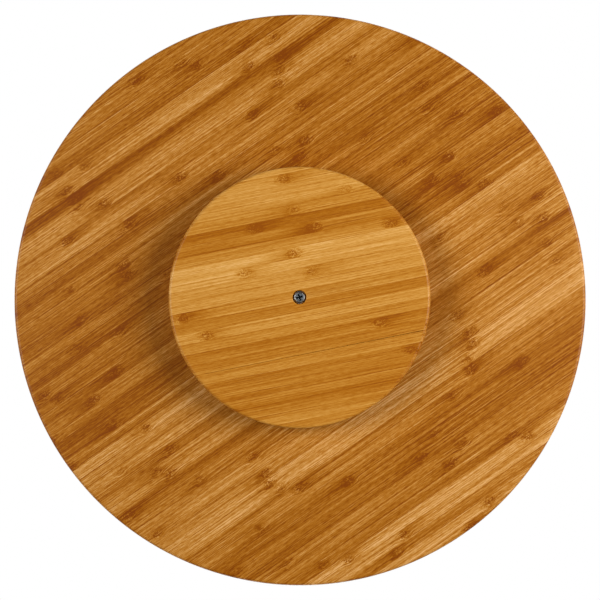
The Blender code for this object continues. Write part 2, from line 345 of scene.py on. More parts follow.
def bamboo(name, shades, grade_range, weights, roughness, radius, soak):
    """Carbonised bamboo. shades run from the darkest fibre to the palest pith."""
    material, tree, shader = new_material(name, shades[2], roughness, 0.0, OILED_IOR)
    place = add(tree, "TexCoord", {}, {}).node.outputs["Object"]
    place = add(tree, "VectorMath", {"operation": "SCALE"}, {0: place, "Scale": 1 / MM})
    along, across, depth = add(tree, "SeparateXYZ", {}, {0: place}).node.outputs[:3]
    strip = add(tree, "Attribute", {"attribute_name": "strip"}, {}).node.outputs["Vector"]
    grade, seed, middle = add(tree, "SeparateXYZ", {}, {0: strip}).node.outputs[:3]
    cane = add(tree, "Attribute", {"attribute_name": "cane"}, {}).node.outputs["Vector"]
    knot, spacing, half_width = add(tree, "SeparateXYZ", {}, {0: cane}).node.outputs[:3]

    # Where this point lies in its strip, and how far it is from the nearest knot.
    off_middle = add(tree, "Math", {"operation": "SUBTRACT"}, {0: across, 1: middle})
    half_spacing = add(tree, "Math", {"operation": "MULTIPLY"}, {0: spacing, 1: 0.5})
    minus_half = add(tree, "Math", {"operation": "MULTIPLY"}, {0: spacing, 1: -0.5})
    from_first = add(tree, "Math", {"operation": "SUBTRACT"}, {0: along, 1: knot})
    from_knot = add(
        tree, "Math", {"operation": "WRAP"}, {0: from_first, 1: half_spacing, 2: minus_half}
    )
    ragged = add(tree, "TexNoise", {}, {"Vector": place, "Scale": 0.4, "Detail": 2.0})
    ragged = add(
        tree, "Math", {"operation": "MULTIPLY_ADD"}, {0: ragged, 1: 2 * RAGGED_REACH, 2: -RAGGED_REACH}
    )
    from_knot = add(tree, "Math", {"operation": "ADD"}, {0: from_knot, 1: ragged})

    # A second chance number says how plain this strip's knots are.
    plain = add(tree, "Math", {"operation": "MULTIPLY"}, {0: seed, 1: 17.0})
    plain = add(tree, "Math", {"operation": "FRACT"}, {0: plain})
    strong = add(tree, "MapRange", {}, {"Value": plain, "To Min": 1.0, "To Max": PLAINEST_KNOT})

    # Fibres swell round a knot, step sideways past it, and wander a little everywhere.
    swell = add(tree, "Math", {"operation": "DIVIDE"}, {0: from_knot, 1: SWELL_REACH})
    swell = add(tree, "Math", {"operation": "MULTIPLY"}, {0: swell, 1: swell})
    swell = add(tree, "Math", {"operation": "MULTIPLY"}, {0: swell, 1: -1.0})
    swell = add(tree, "Math", {"operation": "EXPONENT"}, {0: swell})
    spread = add(tree, "Math", {"operation": "MULTIPLY_ADD"}, {0: swell, 1: SWELL_SPREAD, 2: 1.0})
    step = add(tree, "Math", {"operation": "MULTIPLY_ADD"}, {0: swell, 1: SWELL_STEP, 2: off_middle})
    wander = add(tree, "CombineXYZ", {}, {0: along, 1: seed})
    wander = add(
        tree, "VectorMath", {"operation": "MULTIPLY"}, {0: wander, 1: (1 / WANDER_LENGTH, 40.0, 1.0)}
    )
    wander = add(tree, "TexNoise", {"noise_dimensions": "2D"}, {"Vector": wander, "Scale": 1.0})
    step = add(tree, "Math", {"operation": "MULTIPLY_ADD"}, {0: wander, 1: WANDER_REACH, 2: step})
    fibre_across = add(tree, "Math", {"operation": "DIVIDE"}, {0: step, 1: spread})
    seeded = add(tree, "Math", {"operation": "MULTIPLY"}, {0: seed, 1: 900.0})
    fibre_across = add(tree, "Math", {"operation": "ADD"}, {0: fibre_across, 1: seeded})
    fibre_place = add(tree, "CombineXYZ", {}, {0: along, 1: fibre_across, 2: depth})

    lines = {}
    for layer, size in GRAINS.items():
        spot = add(
            tree, "VectorMath", {"operation": "MULTIPLY"},
            {0: fibre_place, 1: tuple(1 / length for length in size)},
        )
        lines[layer] = add(
            tree, "TexNoise", {}, {"Vector": spot, "Scale": 1.0, "Detail": 2.0, "Roughness": 0.6}
        )

    # Add up the tone: grade, then each kind of line, then the darker skin side.
    tone = add(
        tree, "MapRange", {}, {"Value": grade, "To Min": grade_range[0], "To Max": grade_range[1]}
    )
    for layer, weight in weights.items():
        tone = add(
            tree, "Math", {"operation": "MULTIPLY_ADD"}, {0: lines[layer], 1: weight, 2: tone}
        )
        tone = add(tree, "Math", {"operation": "SUBTRACT"}, {0: tone, 1: weight / 2})
    side = add(tree, "Math", {"operation": "DIVIDE"}, {0: off_middle, 1: half_width})
    lean = add(tree, "Math", {"operation": "MULTIPLY_ADD"}, {0: seed, 1: 2 * SKIN_LEAN, 2: -SKIN_LEAN})
    tone = add(tree, "Math", {"operation": "MULTIPLY_ADD"}, {0: side, 1: lean, 2: tone})

    # Dark hairlines, where one bundle lies bare on the surface for a while.
    hair = add(
        tree, "MapRange", {"interpolation_type": "SMOOTHSTEP"},
        {"Value": lines["hairs"], "From Min": HAIRLINE[0], "From Max": HAIRLINE[1],
         "To Max": HAIRLINE[2]},
    )
    fleck = add(
        tree, "MapRange", {"interpolation_type": "SMOOTHSTEP"},
        {"Value": lines["flecks"], "From Min": DARK_FLECK[0], "From Max": DARK_FLECK[1],
         "To Max": DARK_FLECK[2]},
    )
    tone = add(tree, "Math", {"operation": "ADD"}, {0: tone, 1: hair})
    tone = add(tree, "Math", {"operation": "ADD"}, {0: tone, 1: fleck})

    # The glue line shows dark on some strips and hardly at all on others.
    to_edge = add(tree, "Math", {"operation": "ABSOLUTE"}, {0: off_middle})
    to_edge = add(tree, "Math", {"operation": "SUBTRACT"}, {0: half_width, 1: to_edge})
    starved = add(
        tree, "MapRange", {}, {"Value": plain, "To Min": GLUE_TONES[0], "To Max": GLUE_TONES[1]}
    )
    glue = add(
        tree, "MapRange", {"interpolation_type": "SMOOTHSTEP"},
        {"Value": to_edge, "From Max": GLUE_LINE, "To Min": starved, "To Max": 0.0},
    )
    tone = add(tree, "Math", {"operation": "ADD"}, {0: tone, 1: glue})

    # The knot: a brown eye full of short curled fibres, crossed by the thin pale line of the
    # wall that closed the cane there, and a streak on one side of it.
    eye_along = add(tree, "Math", {"operation": "DIVIDE"}, {0: from_knot, 1: KNOT_EYE[0]})
    eye_along = add(tree, "Math", {"operation": "MULTIPLY"}, {0: eye_along, 1: eye_along})
    eye_across = add(tree, "Math", {"operation": "DIVIDE"}, {0: off_middle, 1: KNOT_EYE[1]})
    eye_across = add(tree, "Math", {"operation": "MULTIPLY"}, {0: eye_across, 1: eye_across})
    eye = add(tree, "Math", {"operation": "ADD"}, {0: eye_across, 1: eye_along})
    eye = add(tree, "Math", {"operation": "MULTIPLY"}, {0: eye, 1: -1.0})
    eye = add(tree, "Math", {"operation": "EXPONENT"}, {0: eye})
    eye = add(tree, "Math", {"operation": "MULTIPLY"}, {0: eye, 1: strong})
    curled = add(tree, "VectorMath", {"operation": "MULTIPLY"}, {0: place, 1: (0.70, 1.25, 0.8)})
    curled = add(
        tree, "TexNoise", {}, {"Vector": curled, "Scale": 1.0, "Detail": 1.0, "Distortion": 1.4}
    )
    curled = add(
        tree, "MapRange", {},
        {"Value": curled, "From Min": 0.36, "From Max": 0.64,
         "To Min": CURL_TONES[0], "To Max": CURL_TONES[1]},
    )
    tone = add(tree, "Math", {"operation": "MULTIPLY_ADD"}, {0: curled, 1: eye, 2: tone})
    wall = add(
        tree, "Math", {"operation": "MULTIPLY_ADD"}, {0: off_middle, 1: WALL_SLANT, 2: from_knot}
    )
    wall = add(tree, "Math", {"operation": "DIVIDE"}, {0: wall, 1: KNOT_WALL})
    wall = add(tree, "Math", {"operation": "MULTIPLY"}, {0: wall, 1: wall})
    wall = add(tree, "Math", {"operation": "MULTIPLY"}, {0: wall, 1: -1.0})
    wall = add(tree, "Math", {"operation": "EXPONENT"}, {0: wall})
    wall = add(tree, "Math", {"operation": "MULTIPLY"}, {0: wall, 1: eye})
    tone = add(tree, "Math", {"operation": "MULTIPLY_ADD"}, {0: wall, 1: WALL_TONE, 2: tone})
    facing = add(tree, "Math", {"operation": "SUBTRACT"}, {0: seed, 1: 0.5})
    facing = add(tree, "Math", {"operation": "SIGN"}, {0: facing})
    beyond = add(tree, "Math", {"operation": "MULTIPLY"}, {0: from_knot, 1: facing})
    rise = add(
        tree, "MapRange", {"interpolation_type": "SMOOTHSTEP"},
        {"Value": beyond, "From Min": -TAIL_RISE, "From Max": TAIL_RISE},
    )
    fade = add(
        tree, "MapRange", {"interpolation_type": "SMOOTHSTEP"},
        {"Value": beyond, "From Min": TAIL_FADE[0], "From Max": TAIL_FADE[1],
         "To Min": 1.0, "To Max": 0.0},
    )
    tail = add(tree, "Math", {"operation": "MULTIPLY"}, {0: rise, 1: fade})
    tail = add(tree, "Math", {"operation": "MULTIPLY"}, {0: tail, 1: strong})
    tail = add(tree, "Math", {"operation": "MULTIPLY"}, {0: tail, 1: lines["bands"]})
    tone = add(tree, "Math", {"operation": "MULTIPLY_ADD"}, {0: tail, 1: TAIL_TONE, 2: tone})

    # Cut ends drink more oil than flat grain, so the rim is darker.
    flat = add(tree, "VectorMath", {"operation": "MULTIPLY"}, {0: place, 1: (1.0, 1.0, 0.0)})
    out = add(tree, "VectorMath", {"operation": "LENGTH"}, {0: flat}).node.outputs["Value"]
    soaked = add(
        tree, "MapRange", {"interpolation_type": "SMOOTHSTEP"},
        {"Value": out, "From Min": radius - END_GRAIN, "From Max": radius},
    )
    tone = add(tree, "Math", {"operation": "MULTIPLY_ADD"}, {0: soaked, 1: -soak, 2: tone})

    ramp = add(tree, "ValToRGB", {}, {0: tone}).node
    stops = ramp.color_ramp.elements
    while len(stops) < len(shades):
        stops.new(0.5)
    for index, shade in enumerate(shades):
        stops[index].position = index / (len(shades) - 1)
        stops[index].color = linear(shade)
    tree.links.new(ramp.outputs[0], shader.inputs["Base Color"])

    satin = add(
        tree, "MapRange", {},
        {"Value": lines["fibres"], "To Min": roughness + SATIN_SPREAD,
         "To Max": roughness - SATIN_SPREAD},
    )
    satin = add(tree, "Math", {"operation": "MULTIPLY_ADD"}, {0: soaked, 1: SOAKED_DULLER, 2: satin})
    tree.links.new(satin, shader.inputs["Roughness"])
    height = add(tree, "Math", {"operation": "ADD"}, {0: hair, 1: lines["fibres"]})
    bump = add(tree, "Bump", {}, {"Strength": 0.4, "Distance": FIBRE_RELIEF, "Height": height})
    tree.links.new(bump, shader.inputs["Normal"])
    return material


platter_bamboo = bamboo(
    "carbonised_bamboo_platter", ("#7F3C00", "#965402", "#AE6D1C", "#C68B40", "#DFAB6C"),
    (0.24, 0.73), {"bands": 0.40, "streaks": 0.50, "fibres": 1.35, "flecks": 1.10, "hairs": 0.40},
    0.38, platter_high.x / MM, soak=0.25,
)
base_bamboo = bamboo(
    "carbonised_bamboo_base", ("#904A02", "#A9640A", "#BF802A", "#D49B4A", "#EAB975"),
    (0.27, 0.73), {"bands": 0.24, "streaks": 0.16, "fibres": 0.85, "flecks": 0.70, "hairs": 0.26},
    0.38, base_high.x / MM, soak=0.25,
)
print("bamboo nodes:", len(platter_bamboo.node_tree.nodes))

# %% [markdown]
# ## The platter
# The blank is glued up, turned round and sanded, and its edges are eased so that hands slide under.
# Underneath it has a routed channel for the upper race ring and a pilot hole for the screw.
# A thin ring of faces just inside each eased edge keeps the flat faces flat in the shading.

# %% Turn the platter
BOARD_SIDES = 256
EDGE_STEPS = 8
PILOT_RADIUS = 2.05 * MM


def eased_rim(radius, bottom, top):
    """Outer side of a board, bottom to top, with both edges rounded and a support ring each."""
    inner = radius - EDGE_EASE
    low = arc((inner, bottom + EDGE_EASE), EDGE_EASE, -90, 0, EDGE_STEPS)
    high = arc((inner, top - EDGE_EASE), EDGE_EASE, 0, 90, EDGE_STEPS)
    return [(inner - GAP, bottom), *low, *high, (inner - GAP, top)]


def make_platter():
    bottom, top = platter_low.z, platter_high.z
    roof = upper_race_high.z + GAP
    pilot_end = screw_high.z + 2 * GAP
    outline = [
        (0.0, pilot_end),
        (PILOT_RADIUS, pilot_end),
        (PILOT_RADIUS, bottom),
        (race_inner - GAP, bottom),
        (race_inner - GAP, roof),
        (race_outer + GAP, roof),
        (race_outer + GAP, bottom),
        *eased_rim(platter_high.x, bottom, top),
        (0.0, top),
    ]
    shape = bmesh.new()
    spin_outline(shape, outline, BOARD_SIDES, closed=False)
    board = finish_mesh("bamboo_platter", shape)
    slice_board(board, platter_edges)
    grade_strips(board, platter_edges, PLATTER_GRADES, PLATTER_KNOTS, KNOT_SPACING, seed=3)
    return wear(board, [platter_bamboo], "platter", "platter_bamboo", "platter")


platter = make_platter()
print("platter faces:", len(platter.data.polygons))

# %% [markdown]
# ## The base disc
# The base is made the same way from paler strips. It was turned to no particular angle when it was
# screwed on, so its grain lies across the platter's. It has lived a little: one glue line has begun
# to open from the rim inwards, and the edge has lost a few splinters beside it.

# %% Turn the base disc and open its glue line
COUNTERBORE_RADIUS = 4.2 * MM
BASE_BORE_RADIUS = 3.5 * MM
COUNTERBORE_EASE = 0.25 * MM
SPLIT_LINE = base_edges[7]          # the glue line that opens, mm across the board
SPLIT_FROM = 66.0                   # where it starts, mm along the board
SPLIT_WIDTH = 0.60                  # at the rim, in mm
SPLIT_DEPTH = 1.6                   # at the rim, in mm
# Each chip: where it lies along and across the board, and its size, in mm.
CHIPS = ((-71.5, -31.0, 0.9), (-70.3, -37.0, 1.2), (-67.6, -41.4, 0.8), (-65.0, -46.2, 1.0))


def split_cutter():
    """A thin ragged wedge that widens towards the rim."""
    chance = random.Random(5)
    reach = base_high.x / MM + 1.0
    steps = 40
    near, far = [], []
    for index in range(steps + 1):
        part = index / steps
        x = SPLIT_FROM + (-reach - SPLIT_FROM) * part
        half = SPLIT_WIDTH / 2 * (0.25 + 0.75 * part * part)
        near.append((x, SPLIT_LINE - half * chance.uniform(0.7, 1.3)))
        far.append((x, SPLIT_LINE + half * chance.uniform(0.7, 1.3)))
    shape = bmesh.new()
    outline = near + far[::-1]
    face = shape.faces.new([shape.verts.new((x * MM, y * MM, -1.0 * MM)) for x, y in outline])
    raised = bmesh.ops.extrude_face_region(shape, geom=[face])
    lifted = [item for item in raised["geom"] if isinstance(item, bmesh.types.BMVert)]
    for vert in lifted:
        shallow = (vert.co.x / MM - SPLIT_FROM) / (-reach - SPLIT_FROM)
        vert.co.z = SPLIT_DEPTH * (0.3 + 0.7 * shallow) * MM
    return finish_mesh("split_cutter", shape)


def chip_cutter():
    """Small faceted lumps that bite into the lower edge."""
    shape = bmesh.new()
    for x, y, size in CHIPS:
        lump = bmesh.ops.create_icosphere(shape, subdivisions=1, radius=size * MM)
        bmesh.ops.scale(shape, verts=lump["verts"], vec=(1.9, 1.0, 1.1))
        outward = Vector((x, y, 0.0)).normalized() * (base_high.x - 0.5 * MM)
        bmesh.ops.translate(shape, verts=lump["verts"], vec=outward + Vector((0, 0, 0.3 * MM)))
    return finish_mesh("chip_cutter", shape)


def make_base():
    top = base_high.z
    floor = lower_race_low.z - GAP
    shoulder = bush_low.z + 1.3 * MM
    outline = [
        *arc(
            (COUNTERBORE_RADIUS + COUNTERBORE_EASE, COUNTERBORE_EASE), COUNTERBORE_EASE, 180, 270, 3
        ),
        *eased_rim(base_high.x, 0.0, top),
        (race_outer + GAP, top),
        (race_outer + GAP, floor),
        (race_inner - GAP, floor),
        (race_inner - GAP, top),
        (BASE_BORE_RADIUS, top),
        (BASE_BORE_RADIUS, shoulder),
        (COUNTERBORE_RADIUS, shoulder),
    ]
    shape = bmesh.new()
    spin_outline(shape, outline, BOARD_SIDES, closed=True)
    board = finish_mesh("bamboo_base", shape)
    cut(board, chip_cutter())
    cut(board, split_cutter())
    slice_board(board, base_edges)
    grade_strips(board, base_edges, BASE_GRADES, BASE_KNOTS, ONE_KNOT, seed=8)
    board.rotation_euler.z = GRAIN_TURN
    return wear(board, [base_bamboo], "base", "base_bamboo", "base_disc")


base = make_base()
print("base faces:", len(base.data.polygons), "split at", SPLIT_LINE, "mm")

# %% [markdown]
# ## Material: zinc-plated steel screw
# The head was cold-formed and tumbled in a zinc bath, so it is grey, soft-edged and slightly
# mottled, with fine scratches from the driver. The recess is coloured near black and made rougher:
# that dark is painted shade, deep in the cross.

# %% Zinc plate, and the recess with painted shade
def plated_steel(name, colour, dark, roughness):
    """Metal whose tone and shine change in small blotches, with fine scratches."""
    material, tree, shader = new_material(name, colour, roughness, 1.0, 1.5)
    place = add(tree, "TexCoord", {}, {}).node.outputs["Object"]
    place = add(tree, "VectorMath", {"operation": "SCALE"}, {0: place, "Scale": 1 / MM})
    blotch = add(tree, "TexNoise", {}, {"Vector": place, "Scale": 0.9, "Detail": 4.0})
    tone = add(tree, "ValToRGB", {}, {0: blotch}).node
    tone.color_ramp.elements[0].position = 0.35
    tone.color_ramp.elements[0].color = linear(dark)
    tone.color_ramp.elements[1].position = 0.62
    tone.color_ramp.elements[1].color = linear(colour)
    tree.links.new(tone.outputs[0], shader.inputs["Base Color"])
    scratch = add(tree, "VectorMath", {"operation": "MULTIPLY"}, {0: place, 1: (0.5, 9.0, 2.0)})
    scratch = add(tree, "TexNoise", {}, {"Vector": scratch, "Scale": 1.0, "Detail": 3.0})
    shine = add(
        tree, "MapRange", {},
        {"Value": scratch, "From Min": 0.3, "From Max": 0.7,
         "To Min": roughness - 0.12, "To Max": roughness + 0.16},
    )
    tree.links.new(shine, shader.inputs["Roughness"])
    bump = add(tree, "Bump", {}, {"Strength": 0.3, "Distance": 0.02 * MM, "Height": scratch})
    tree.links.new(bump, shader.inputs["Normal"])
    return material


zinc_plate = plated_steel("zinc_plated_steel", "#ABB1B3", "#7B8287", 0.36)
# painted shade: the cross's recess is coloured near black for the shade deep inside it
recess_painted_shade = plated_steel("recess_with_painted_shade", "#2C2E2E", "#161717", 0.6)
print("screw materials:", zinc_plate.name, recess_painted_shade.name)

# %% [markdown]
# ## The screw
# A number 6 pan-head screw an inch long. Only its head shows, but it is whole: a plain shank, then
# a thread that climbs as a helix. The thread is a grid of points whose rows follow the helix, four
# rows to a turn, which gives a true screw from a short loop. The cross is cut by a tapered star.

# %% Make the screw
HEAD_HEIGHT = 2.1 * MM
HEAD_DOME = 0.15 * MM
HEAD_EDGE = 0.8 * MM
SHANK_RADIUS = 1.55 * MM
CREST_RADIUS = 1.72 * MM
CORE_RADIUS = 1.2 * MM
THREAD_PITCH = 1.4 * MM
THREAD_LENGTH = 16.8 * MM
POINT_LENGTH = 4.0 * MM
POINT_SCALE = 0.25
RECESS_SPAN = 4.6 * MM
RECESS_SLOT = 1.15 * MM
RECESS_DEPTH = 2.0 * MM
RECESS_TAPER = 0.42
RECESS_TURN = math.radians(20.0)
TUMBLED_RADIUS = 0.07 * MM
SCREW_SIDES = 48


def add_thread(shape, start, end):
    """Rows of points along the helix: crest, flank, root, flank."""
    profile = (0.0, 0.5, 1.0, 0.5)
    rise = THREAD_PITCH / len(profile)
    rows = math.ceil((end - start) / rise) + 1
    grid = []
    for column in range(SCREW_SIDES + 1):
        turn = column / SCREW_SIDES
        angle = 2 * math.pi * turn
        points = []
        for row in range(-len(profile) - 1, rows):
            height = start + (row + len(profile) * turn) * rise
            inside = start < height < end
            height = min(max(height, start), end)
            bulge = profile[row % len(profile)] if inside else 0.0
            along = max(0.0, (height - (end - POINT_LENGTH)) / POINT_LENGTH)
            radius = CORE_RADIUS + bulge * (CREST_RADIUS - CORE_RADIUS)
            radius *= 1.0 - (1.0 - POINT_SCALE) * along
            points.append(shape.verts.new((radius * math.cos(angle), radius * math.sin(angle), height)))
        grid.append(points)
    for left, right in zip(grid, grid[1:]):
        for row in range(len(left) - 1):
            shape.faces.new((left[row], right[row], right[row + 1], left[row + 1]))


def recess_cutter():
    """A cross with tapered wings, pointing up into the head."""
    near, far = RECESS_SLOT / 2, RECESS_SPAN / 2
    shape = bmesh.new()
    corners = []
    for quarter in range(4):
        angle = quarter * math.pi / 2
        for x, y in ((far, -near), (far, near), (near, near)):
            across = x * math.cos(angle) - y * math.sin(angle)
            along = x * math.sin(angle) + y * math.cos(angle)
            corners.append(shape.verts.new((across, along, 0.0)))
    raised = bmesh.ops.extrude_face_region(shape, geom=[shape.faces.new(corners)])
    bottom = [item for item in raised["geom"] if isinstance(item, bmesh.types.BMVert)]
    bmesh.ops.scale(shape, verts=bottom, vec=(RECESS_TAPER, RECESS_TAPER, 1.0))
    bmesh.ops.translate(shape, verts=bottom, vec=(0.0, 0.0, RECESS_DEPTH + HEAD_DOME))
    cutter = finish_mesh("recess_cutter", shape)
    cutter.location.z = screw_low.z - HEAD_DOME
    cutter.rotation_euler.z = RECESS_TURN
    return cutter


def make_screw():
    face, seat, tip = screw_low.z, screw_low.z + HEAD_HEIGHT, screw_high.z
    head_radius = screw_high.x
    thread_start = tip - THREAD_LENGTH
    shoulder = SHANK_RADIUS - CORE_RADIUS
    flat = head_radius - HEAD_EDGE
    dome = [(flat * i / 4, face + HEAD_DOME * (i / 4) ** 2) for i in range(4)]
    outline = [
        *dome,
        *arc((flat, face + HEAD_DOME + HEAD_EDGE), HEAD_EDGE, -90, 0, 6),
        (head_radius, seat),
        (SHANK_RADIUS, seat),
        (SHANK_RADIUS, thread_start - shoulder),
        (CORE_RADIUS, thread_start),
    ]
    shape = bmesh.new()
    spin_outline(shape, outline, SCREW_SIDES, closed=False)
    add_thread(shape, thread_start, tip)
    bmesh.ops.remove_doubles(shape, verts=shape.verts, dist=0.001 * MM)
    bmesh.ops.holes_fill(shape, edges=shape.edges, sides=SCREW_SIDES)
    screw = cut(finish_mesh("pan_head_screw", shape), recess_cutter())
    round_edges(screw, "tumbled_edges", TUMBLED_RADIUS, sharp_degrees=40)
    wear(screw, [zinc_plate, recess_painted_shade], "platter", "zinc_plated_steel", "centre_screw")
    # faces deep in the cross take the material with painted shade
    for polygon in screw.data.polygons:
        centre = polygon.center
        inside = math.hypot(centre.x, centre.y) < RECESS_SPAN / 2
        deep = face + HEAD_DOME + 0.12 * MM < centre.z < seat + RECESS_DEPTH
        upright = math.hypot(centre.x, centre.y) < SHANK_RADIUS * 0.9 or centre.z < seat - 0.1 * MM
        polygon.material_index = int(inside and deep and upright)
    return screw


screw = make_screw()
print("screw faces:", len(screw.data.polygons), "length, mm:", round((screw_high.z - screw_low.z) / MM, 1))

# %% [markdown]
# ## Material: acetal, injection-moulded
# The bush and the cage are acetal, a slippery milky plastic. A moulded part is even in colour with
# a very fine satin from the mould, and light goes a little way into it.

# %% Acetal
def moulded_acetal(name, colour, roughness):
    material, tree, shader = new_material(name, colour, roughness, 0.0, 1.48)
    shader.inputs["Subsurface Weight"].default_value = 0.15
    shader.inputs["Subsurface Radius"].default_value = (1.0, 0.9, 0.8)
    shader.inputs["Subsurface Scale"].default_value = 1.0 * MM
    place = add(tree, "TexCoord", {}, {}).node.outputs["Object"]
    texture = add(tree, "TexNoise", {}, {"Vector": place, "Scale": 1 / (0.4 * MM), "Detail": 3.0})
    shine = add(
        tree, "MapRange", {},
        {"Value": texture, "To Min": roughness - 0.06, "To Max": roughness + 0.08},
    )
    tree.links.new(shine, shader.inputs["Roughness"])
    cloud = add(tree, "TexNoise", {}, {"Vector": place, "Scale": 1 / (9 * MM), "Detail": 1.0})
    tone = add(tree, "ValToRGB", {}, {0: cloud}).node
    tone.color_ramp.elements[0].color = linear("#DEDCD2")
    tone.color_ramp.elements[1].color = linear(colour)
    tree.links.new(tone.outputs[0], shader.inputs["Base Color"])
    bump = add(tree, "Bump", {}, {"Strength": 0.2, "Distance": 0.02 * MM, "Height": texture})
    tree.links.new(bump, shader.inputs["Normal"])
    return material


acetal = moulded_acetal("moulded_acetal", "#F0EFE8", 0.42)
print("plastic:", acetal.name)

# %% [markdown]
# ## The pivot bush
# A flanged sleeve that the screw clamps to the platter. The base turns on its outside, and its
# flange keeps the base from dropping off. Its edges have the small radii that moulding leaves.

# %% Make the bush
SLEEVE_RADIUS = 3.2 * MM
SLEEVE_BORE = 2.05 * MM
FLANGE_THICKNESS = 1.0 * MM
MOULD_RADIUS = 0.2 * MM


def make_bush():
    low, high, flange = bush_low.z, bush_high.z, bush_high.x
    r = MOULD_RADIUS
    shelf = low + FLANGE_THICKNESS
    outline = [
        *arc((SLEEVE_BORE + r, low + r), r, 180, 270, 3),
        *arc((flange - r, low + r), r, -90, 0, 3),
        *arc((flange - r, shelf - r), r, 0, 90, 3),
        *arc((SLEEVE_RADIUS + r, shelf + r), r, -90, -180, 3),
        *arc((SLEEVE_RADIUS - r, high - r), r, 0, 90, 3),
        *arc((SLEEVE_BORE + r, high - r), r, 90, 180, 3),
    ]
    shape = bmesh.new()
    spin_outline(shape, outline, 64, closed=True)
    return wear(
        finish_mesh("flanged_bush", shape), [acetal], "platter", "white_acetal", "pivot_bush"
    )


bush = make_bush()
print("bush faces:", len(bush.data.polygons))

# %% [markdown]
# ## Material: cold-rolled steel, pressed and polished by the balls
# The race rings are stamped from sheet. Rolling and deburring leave fine lines round the ring, and
# the track is brighter where the balls run.

# %% Rolled steel with lines round the axis
def ring_steel(name, colour, roughness, line):
    """Steel with fine lines round the Z axis. line is their spacing in metres."""
    material, tree, shader = new_material(name, colour, roughness, 1.0, 1.5)
    place = add(tree, "TexCoord", {}, {}).node.outputs["Object"]
    flat = add(tree, "VectorMath", {"operation": "MULTIPLY"}, {0: place, 1: (1.0, 1.0, 0.0)})
    out = add(tree, "VectorMath", {"operation": "LENGTH"}, {0: flat}).node.outputs["Value"]
    lines = add(
        tree, "TexNoise", {"noise_dimensions": "1D"}, {"W": out, "Scale": 1 / line, "Detail": 3.0}
    )
    from_track = add(tree, "Math", {"operation": "SUBTRACT"}, {0: out, 1: pitch_radius})
    from_track = add(tree, "Math", {"operation": "ABSOLUTE"}, {0: from_track})
    track = add(
        tree, "MapRange", {"interpolation_type": "SMOOTHSTEP"},
        {"Value": from_track, "From Min": 0.5 * MM, "From Max": 1.4 * MM,
         "To Min": -0.14, "To Max": 0.0},
    )
    shine = add(
        tree, "MapRange", {},
        {"Value": lines, "To Min": roughness - 0.1, "To Max": roughness + 0.1},
    )
    shine = add(tree, "Math", {"operation": "ADD"}, {0: shine, 1: track})
    tree.links.new(shine, shader.inputs["Roughness"])
    bump = add(tree, "Bump", {}, {"Strength": 0.25, "Distance": 0.01 * MM, "Height": lines})
    tree.links.new(bump, shader.inputs["Normal"])
    return material


race_steel = ring_steel("cold_rolled_steel", "#A9A9A7", 0.34, 0.2 * MM)
print("race steel:", race_steel.name)

# %% [markdown]
# ## The race rings
# Two identical rings, one in each board. Each has a shallow curved track that the balls roll in.

# %% Make both race rings
TRACK_DEPTH = 0.5 * MM
BURR_RADIUS = 0.25 * MM


def make_race(name, node, body, near, far):
    """near is the height of the face that the balls see, and far is that of the seated face."""
    side = 1 if far > near else -1
    thick = abs(far - near)
    track = ball_radius + GAP
    spread = math.degrees(math.acos((track - TRACK_DEPTH) / track))
    r = BURR_RADIUS
    outline = [
        *arc((race_inner + r, r), r, 270, 180, 3),
        *arc((race_inner + r, thick - r), r, 180, 90, 3),
        *arc((race_outer - r, thick - r), r, 90, 0, 3),
        *arc((race_outer - r, r), r, 0, -90, 3),
        *arc((pitch_radius, TRACK_DEPTH - track), track, 90 - spread, 90 + spread, 12),
    ]
    heights = [(radius, near + side * height) for radius, height in outline]
    shape = bmesh.new()
    spin_outline(shape, heights, 192, closed=True)
    return wear(finish_mesh(name, shape), [race_steel], body, "pressed_steel", node)


lower_race = make_race(
    "lower_race", "lower_race_ring", "base", lower_race_high.z, lower_race_low.z
)
upper_race = make_race(
    "upper_race", "upper_race_ring", "platter", upper_race_low.z, upper_race_high.z
)
print("race ring faces:", len(lower_race.data.polygons))

# %% [markdown]
# ## The ball cage
# One flat moulded ring keeps the balls apart. Each ball sits in a pocket through a raised boss.
# The bosses are joined to the web and the pockets cut through them, and a small bevel gives every
# edge its mould radius.

# %% Make the cage
WEB_WIDTH = 6.0 * MM
WEB_HEIGHT = 1.6 * MM
BOSS_RADIUS = 4.6 * MM
CAGE_EDGE = 0.15 * MM
ball_names = sorted(name for name in frame["nodes"] if name.startswith("ball_") and name[5:].isdigit())


def posts(name, radius, height):
    """An upright post at each ball's place."""
    shape = bmesh.new()
    for ball in ball_names:
        post = bmesh.ops.create_cone(
            shape, cap_ends=True, segments=32, radius1=radius, radius2=radius, depth=height,
        )
        place = Vector(joints[ball + "_roll"]["pos_m"])
        bmesh.ops.translate(shape, verts=post["verts"], vec=place)
    return finish_mesh(name, shape)


def make_cage():
    half_web = WEB_HEIGHT / 2
    boss_height = cage_high.z - cage_low.z
    inner, outer = pitch_radius - WEB_WIDTH / 2, pitch_radius + WEB_WIDTH / 2
    bottom, top = ball_height - half_web, ball_height + half_web
    shape = bmesh.new()
    spin_outline(shape, [(inner, bottom), (outer, bottom), (outer, top), (inner, top)], 160, closed=True)
    cage = finish_mesh("moulded_cage", shape)
    bosses = posts("bosses", BOSS_RADIUS, boss_height)
    join = cage.modifiers.new("bosses", "BOOLEAN")
    join.operation = "UNION"
    join.solver = "EXACT"
    join.object = bosses
    apply_modifiers(cage)
    bpy.data.objects.remove(bosses, do_unlink=True)
    cut(cage, posts("pockets", ball_radius + GAP, 2 * boss_height))
    round_edges(cage, "mould_radius", CAGE_EDGE, sharp_degrees=35)
    return wear(cage, [acetal], "cage", "white_acetal", "ball_cage")


cage = make_cage()
print("cage faces:", len(cage.data.polygons), "for", len(ball_names), "balls")

# %% [markdown]
# ## Material: chrome bearing steel, lapped
# A ball is ground and lapped until it mirrors, with only a breath of haze from use.

